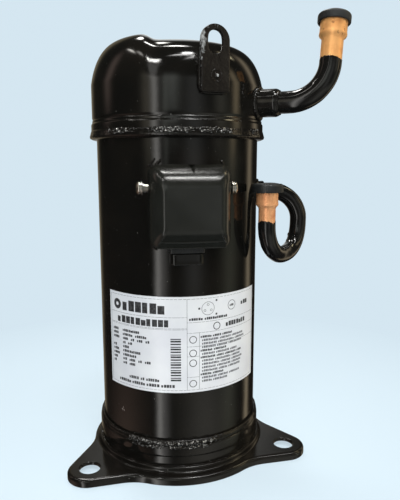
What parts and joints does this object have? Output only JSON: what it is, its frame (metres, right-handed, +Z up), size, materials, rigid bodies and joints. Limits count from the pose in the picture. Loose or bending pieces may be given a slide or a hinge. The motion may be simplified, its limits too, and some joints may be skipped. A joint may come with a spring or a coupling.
{
  "type": "hermetic scroll compressor",
  "caption": "Tall black hermetic refrigeration compressor with a domed top, three-foot plate, elbowed suction pipe, looped discharge pipe and a square terminal cover.",
  "frame": {"origin": "on the axis of the round body, in the plane that the base plate and the dished bottom rest on", "axes": "+Z up along the body's axis; -Y is the front with the terminal cover and label; +X is the side that the suction and discharge pipes leave from"},
  "size_m": [0.2636, 0.2497, 0.4298],
  "materials": {
    "black_paint": "deep gloss black stove paint with slight orange peel",
    "painted_weld": "rippled arc weld under gloss black paint",
    "copper_tube": "drawn copper tube, lightly tarnished, black paint below the socket",
    "black_rubber": "matt moulded rubber",
    "cover_plastic": "satin black moulded plastic",
    "zinc_screw": "bright zinc plate",
    "label_film": "silver-white printed film",
    "machined_steel": "ground and turned steel",
    "cast_iron": "cast skin with machined faces",
    "aluminium": "machined die casting",
    "lamination_steel": "stacked electrical sheet",
    "magnet_wire": "varnished copper winding",
    "bearing_bronze": "plain bearing metal",
    "sealing_glass": "dark sealing glass",
    "insulator": "moulded insulator"
  },
  "bodies": {
    "housing": {"base_plate": "black_paint", "bottom_cup": "black_paint", "bottom_weld": "painted_weld", "body_shell": "black_paint", "top_weld": "painted_weld", "top_cap": "black_paint", "lifting_lug": "black_paint", "suction_stub": "black_paint", "suction_pipe": "copper_tube", "suction_seal": "black_rubber", "discharge_stub": "black_paint", "discharge_pipe": "copper_tube", "terminal_header": "machined_steel", "terminal_glass_1": "sealing_glass", "terminal_glass_2": "sealing_glass", "terminal_glass_3": "sealing_glass", "terminal_pin_1": "machined_steel", "terminal_pin_2": "machined_steel", "terminal_pin_3": "machined_steel", "terminal_fence": "black_paint", "cover_gasket": "black_rubber", "cover_screw_left": "zinc_screw", "cover_screw_right": "zinc_screw", "cable_bush": "cover_plastic", "cable_clamp": "black_paint", "rating_label": "label_film", "fixed_scroll": "cast_iron", "main_frame": "cast_iron", "main_bearing": "bearing_bronze", "scroll_bolt_1": "zinc_screw", "scroll_bolt_2": "zinc_screw", "scroll_bolt_3": "zinc_screw", "scroll_bolt_4": "zinc_screw", "valve_stop": "machined_steel", "valve_screw": "zinc_screw", "muffler_cover": "machined_steel", "stator_core": "lamination_steel", "stator_winding": "magnet_wire", "terminal_plug": "insulator", "motor_leads": "insulator", "lower_bracket": "cast_iron", "lower_bearing": "bearing_bronze", "thrust_plate": "machined_steel"},
    "crank": {"crankshaft": "machined_steel", "crank_bush": "bearing_bronze", "oil_tube": "machined_steel", "rotor_core": "lamination_steel", "rotor_ring_upper": "aluminium", "rotor_ring_lower": "aluminium", "counterweight_upper": "bearing_bronze", "counterweight_lower": "bearing_bronze"},
    "orbiter": {"orbiting_scroll": "aluminium", "orbiting_bearing": "bearing_bronze"},
    "coupling_ring": {"oldham_ring": "aluminium"},
    "valve": {"valve_reed": "machined_steel"},
    "cover": {"terminal_cover": "cover_plastic"},
    "suction_cap": {"suction_plug": "black_rubber"},
    "discharge_cap": {"discharge_plug": "black_rubber"}
  },
  "joints": [
    {"name": "crank_spin", "type": "hinge", "parent": "housing", "child": "crank", "pos_m": [0, 0, 0.18], "axis": [0, 0, 1], "continuous": true},
    {"name": "scroll_orbit", "type": "hinge", "parent": "crank", "child": "orbiter", "pos_m": [0.005, 0, 0.318], "axis": [0, 0, 1], "continuous": true},
    {"name": "ring_slide", "type": "slide", "parent": "housing", "child": "coupling_ring", "axis": [1, 0, 0], "range_m": [-0.005, 0.005]},
    {"name": "valve_lift", "type": "hinge", "parent": "housing", "child": "valve", "pos_m": [-0.022, 0, 0.3766], "axis": [0, -1, 0], "range_deg": [0, 4], "stiffness_Nm_per_rad": 0.05},
    {"name": "cover_pull", "type": "slide", "parent": "housing", "child": "cover", "axis": [0.1132, -0.9936, 0], "range_m": [0, 0.06]},
    {"name": "suction_cap_pull", "type": "slide", "parent": "housing", "child": "suction_cap", "axis": [0.0983, 0.1572, 0.9827], "range_m": [0, 0.03]},
    {"name": "discharge_cap_pull", "type": "slide", "parent": "housing", "child": "discharge_cap", "axis": [0, 0, 1], "range_m": [0, 0.03]}
  ],
  "couplings": [
    {"joint": "scroll_orbit", "follows": "crank_spin", "ratio": -1}
  ]
}
